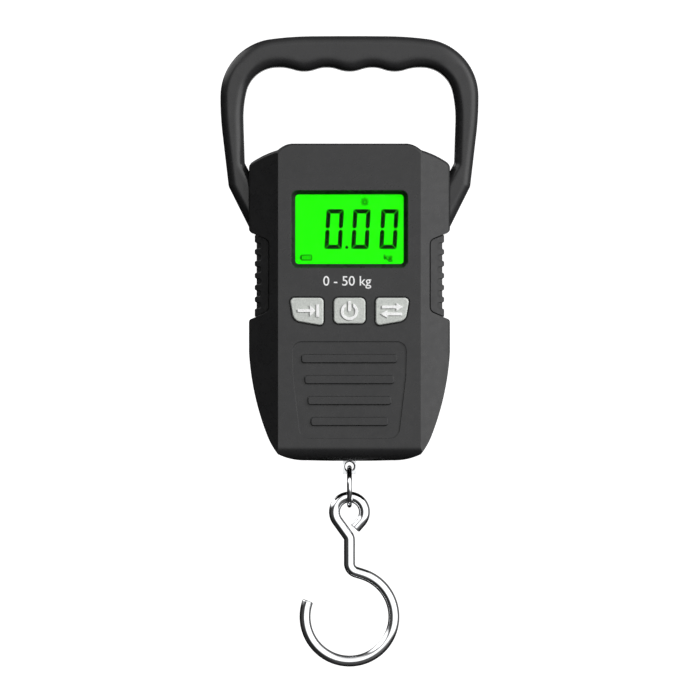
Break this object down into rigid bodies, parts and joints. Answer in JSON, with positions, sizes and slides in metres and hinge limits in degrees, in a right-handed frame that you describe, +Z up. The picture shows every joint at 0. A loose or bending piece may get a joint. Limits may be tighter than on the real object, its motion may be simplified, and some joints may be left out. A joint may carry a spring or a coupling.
{
  "type": "digital fish scale",
  "caption": "Handheld hanging scale: loop handle with finger hollows, faceted case with lit display, push buttons, side grips and a round wire hook on a ring.",
  "frame": {"origin": "underside of the handle's middle finger bump, on the centre plane of the handle, where the scale is held or hung up", "axes": "+Z up as the scale hangs, -Y out of the display towards the reader, +X to the reader's right"},
  "size_m": [0.0928, 0.0285, 0.2269],
  "materials": {
    "housing_plastic": "satin moulded ABS, fine texture",
    "handle_plastic": "satin moulded ABS",
    "grip_rubber": "soft satin rubber",
    "window_clear": "clear acrylic",
    "lcd": "display glass, lit green",
    "backlight_diffuser": "milky diffuser",
    "frame_white": "moulded frame",
    "strip_rubber": "conductive rubber in pink-grey foam",
    "board": "green solder mask",
    "chip_resin": "black resin blob",
    "small_parts": "ceramic and resin parts",
    "switch_body": "moulded switch body",
    "plunger_plastic": "coloured switch plunger",
    "button_silver": "silver paint on plastic, satin",
    "load_cell_metal": "milled aluminium",
    "gauge_foil": "copper-nickel foil on film",
    "bright_steel": "polished plated steel wire",
    "tab_steel": "cut plate, plated",
    "screw_steel": "zinc plated screws",
    "contact_metal": "nickel plated spring steel",
    "cell_sleeve": "printed film sleeve",
    "wire_insulation": "thin coloured insulation"
  },
  "bodies": {
    "housing": {"front_cover": "housing_plastic", "rear_cover": "housing_plastic", "handle": "handle_plastic", "left_side_grip": "grip_rubber", "right_side_grip": "grip_rubber", "display_window": "window_clear", "lcd_glass": "lcd", "backlight_block": "backlight_diffuser", "backlight_led": "frame_white", "display_frame": "frame_white", "contact_strip": "strip_rubber", "main_board": "board", "chip_blob": "chip_resin", "board_parts": "small_parts", "key_switches": "switch_body", "load_cell": "load_cell_metal", "strain_gauges": "gauge_foil", "load_cell_screws": "screw_steel", "pull_tab": "tab_steel", "pull_tab_pin": "screw_steel", "cover_screws": "screw_steel", "board_screws": "screw_steel", "upper_aaa_cell": "cell_sleeve", "lower_aaa_cell": "cell_sleeve", "negative_contact_plate": "contact_metal", "negative_contact_spring": "contact_metal", "positive_contact": "contact_metal", "bridge_contact_plate": "contact_metal", "bridge_contact_spring": "contact_metal", "load_cell_wires": "wire_insulation", "battery_wires": "wire_insulation"},
    "tare_key": {"tare_button": "button_silver", "tare_switch_plunger": "plunger_plastic"},
    "power_key": {"power_button": "button_silver", "power_switch_plunger": "plunger_plastic"},
    "unit_key": {"unit_button": "button_silver", "unit_switch_plunger": "plunger_plastic"},
    "door": {"battery_door": "housing_plastic"},
    "ring": {"hanging_ring": "bright_steel"},
    "hook": {"hook": "bright_steel"}
  },
  "joints": [
    {"name": "tare_press", "type": "slide", "parent": "housing", "child": "tare_key", "axis": [0, 1, 0], "range_m": [0, 0.0005], "stiffness_N_per_m": 1500, "springref_m": -0.0004},
    {"name": "power_press", "type": "slide", "parent": "housing", "child": "power_key", "axis": [0, 1, 0], "range_m": [0, 0.0005], "stiffness_N_per_m": 1500, "springref_m": -0.0004},
    {"name": "unit_press", "type": "slide", "parent": "housing", "child": "unit_key", "axis": [0, 1, 0], "range_m": [0, 0.0005], "stiffness_N_per_m": 1500, "springref_m": -0.0004},
    {"name": "battery_door_hinge", "type": "hinge", "parent": "housing", "child": "door", "pos_m": [0, 0.0125, -0.06385], "axis": [-1, 0, 0], "range_deg": [0, 50]},
    {"name": "ring_swing", "type": "hinge", "parent": "housing", "child": "ring", "pos_m": [0, 0, -0.14265], "axis": [0, 1, 0], "range_deg": [-60, 60]},
    {"name": "hook_swing", "type": "hinge", "parent": "ring", "child": "hook", "pos_m": [0, 0, -0.15323], "axis": [1, 0, 0], "range_deg": [-90, 90]}
  ]
}
